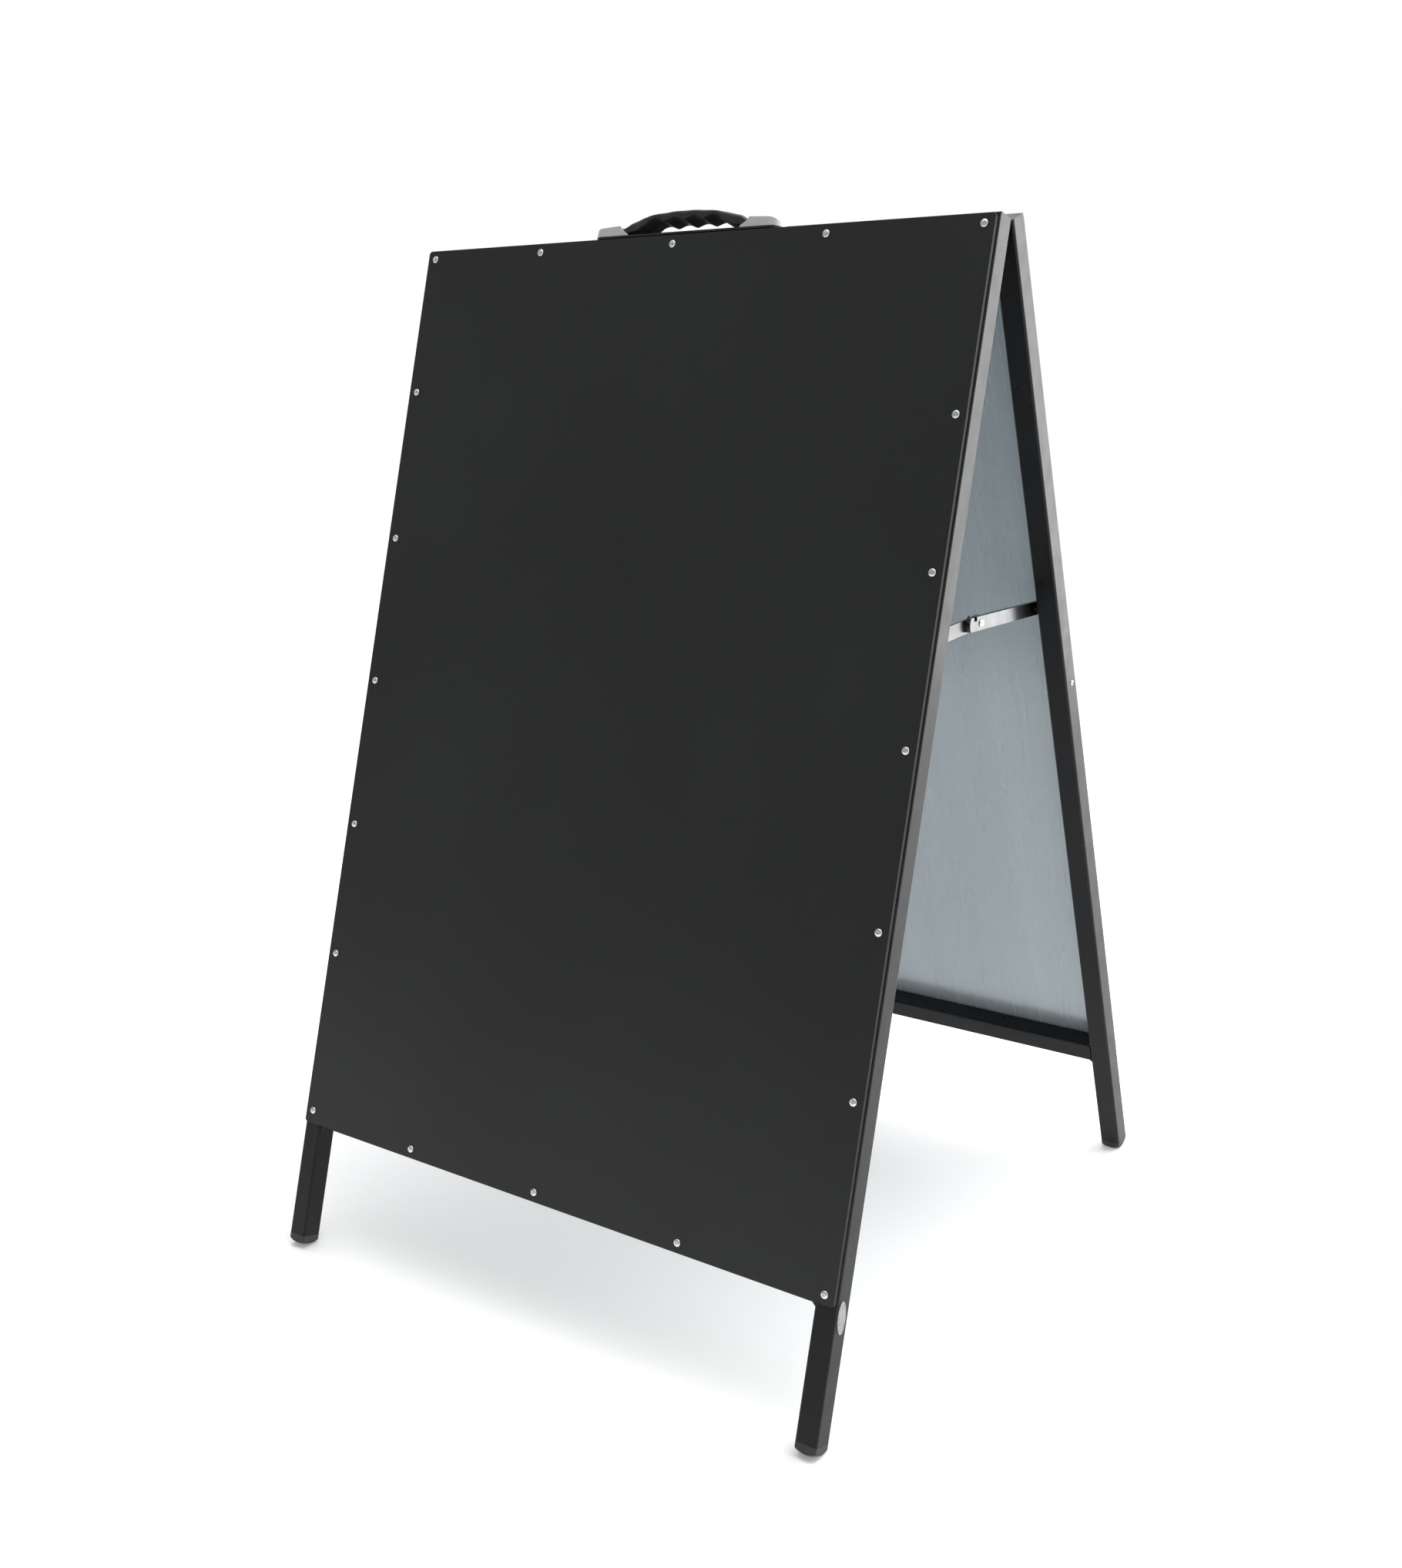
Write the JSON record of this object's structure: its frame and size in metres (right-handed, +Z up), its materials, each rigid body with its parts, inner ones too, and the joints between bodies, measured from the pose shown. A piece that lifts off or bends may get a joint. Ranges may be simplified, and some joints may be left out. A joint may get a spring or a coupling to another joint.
{
  "type": "sandwich board",
  "caption": "Folding A-frame pavement sign: two framed black panels hinged at the top and held open by knee stays, with a sprung carrying handle.",
  "frame": {"origin": "centre of the standing footprint, on the ground under the hinge line", "axes": "+X across the board to the right as seen from the front leaf, -Y towards the front leaf's feet, +Z up"},
  "size_m": [0.6008, 0.624, 0.9463],
  "materials": {
    "frame_paint": "semi-gloss black powder coat",
    "panel_face": "satin black lacquer",
    "panel_core": "matte black polyethylene core",
    "panel_back": "satin blue-grey coil-coated back",
    "rivet_metal": "bright blind rivet, dark mandrel dimple",
    "foot_plastic": "moulded dark grey plastic",
    "hinge_steel": "plain steel, lightly oiled",
    "stay_zinc": "bright zinc plating",
    "handle_cap": "satin nickel plating",
    "grip_rubber": "moulded black rubber, soft sheen",
    "handle_base_paint": "matte black lacquer",
    "handle_steel": "dull zinc plating",
    "plate_metal": "satin embossed oval plate, blank"
  },
  "bodies": {
    "front_leaf": {"front_left_upright": "frame_paint", "front_right_upright": "frame_paint", "front_top_rail": "frame_paint", "front_bottom_rail": "frame_paint", "front_welds": "frame_paint", "front_face_skin": "panel_face", "front_panel_core": "panel_core", "front_back_skin": "panel_back", "front_panel_rivets": "rivet_metal", "front_left_foot": "foot_plastic", "front_right_foot": "foot_plastic", "left_hinge_front_plate": "hinge_steel", "right_hinge_front_plate": "hinge_steel", "left_hinge_pin": "hinge_steel", "right_hinge_pin": "hinge_steel", "front_hinge_screws": "hinge_steel", "front_stay_rivets": "stay_zinc", "front_stay_spacers": "stay_zinc", "handle_base": "handle_base_paint", "handle_left_cap": "handle_cap", "handle_right_cap": "handle_cap", "handle_screws": "handle_steel", "maker_plate": "plate_metal"},
    "rear_leaf": {"rear_left_upright": "frame_paint", "rear_right_upright": "frame_paint", "rear_top_rail": "frame_paint", "rear_bottom_rail": "frame_paint", "rear_welds": "frame_paint", "rear_face_skin": "panel_face", "rear_panel_core": "panel_core", "rear_back_skin": "panel_back", "rear_panel_rivets": "rivet_metal", "rear_left_foot": "foot_plastic", "rear_right_foot": "foot_plastic", "left_hinge_rear_plate": "hinge_steel", "right_hinge_rear_plate": "hinge_steel", "rear_hinge_screws": "hinge_steel", "rear_stay_rivets": "stay_zinc", "rear_stay_spacers": "stay_zinc", "side_rivet": "rivet_metal"},
    "left_front_arm": {"left_stay_front_arm": "stay_zinc", "left_knee_inner_rivet": "stay_zinc"},
    "right_front_arm": {"right_stay_front_arm": "stay_zinc", "right_knee_inner_rivet": "stay_zinc"},
    "left_rear_arm": {"left_stay_rear_arm": "stay_zinc", "left_knee_outer_rivet": "stay_zinc"},
    "right_rear_arm": {"right_stay_rear_arm": "stay_zinc", "right_knee_outer_rivet": "stay_zinc"},
    "handle_grip": {"grip": "grip_rubber", "grip_left_neck": "grip_rubber", "grip_right_neck": "grip_rubber", "grip_strip": "handle_steel"}
  },
  "joints": [
    {"name": "fold", "type": "hinge", "parent": "front_leaf", "child": "rear_leaf", "pos_m": [0, 0, 0.90937], "axis": [-1, 0, 0], "range_deg": [0, 35.2]},
    {"name": "left_front_stay_turn", "type": "hinge", "parent": "front_leaf", "child": "left_front_arm", "pos_m": [-0.275, -0.11311, 0.60009], "axis": [-1, 0, 0], "range_deg": [0, 102.47]},
    {"name": "right_front_stay_turn", "type": "hinge", "parent": "front_leaf", "child": "right_front_arm", "pos_m": [0.275, -0.11311, 0.60009], "axis": [-1, 0, 0], "range_deg": [0, 102.47]},
    {"name": "left_rear_stay_turn", "type": "hinge", "parent": "rear_leaf", "child": "left_rear_arm", "pos_m": [-0.2765, 0.11311, 0.60009], "axis": [1, 0, 0], "range_deg": [0, 102.47]},
    {"name": "right_rear_stay_turn", "type": "hinge", "parent": "rear_leaf", "child": "right_rear_arm", "pos_m": [0.2765, 0.11311, 0.60009], "axis": [1, 0, 0], "range_deg": [0, 102.47]},
    {"name": "grip_lift", "type": "slide", "parent": "front_leaf", "child": "handle_grip", "axis": [0, 0.3024, 0.9532], "range_m": [0, 0.01], "stiffness_N_per_m": 1500, "deforming": ["grip_left_neck", "grip_right_neck", "grip_strip"]}
  ],
  "couplings": [
    {"joint": "left_front_stay_turn", "follows": "fold", "ratio": 2.911},
    {"joint": "right_front_stay_turn", "follows": "fold", "ratio": 2.911},
    {"joint": "left_rear_stay_turn", "follows": "fold", "ratio": 2.911},
    {"joint": "right_rear_stay_turn", "follows": "fold", "ratio": 2.911}
  ]
}
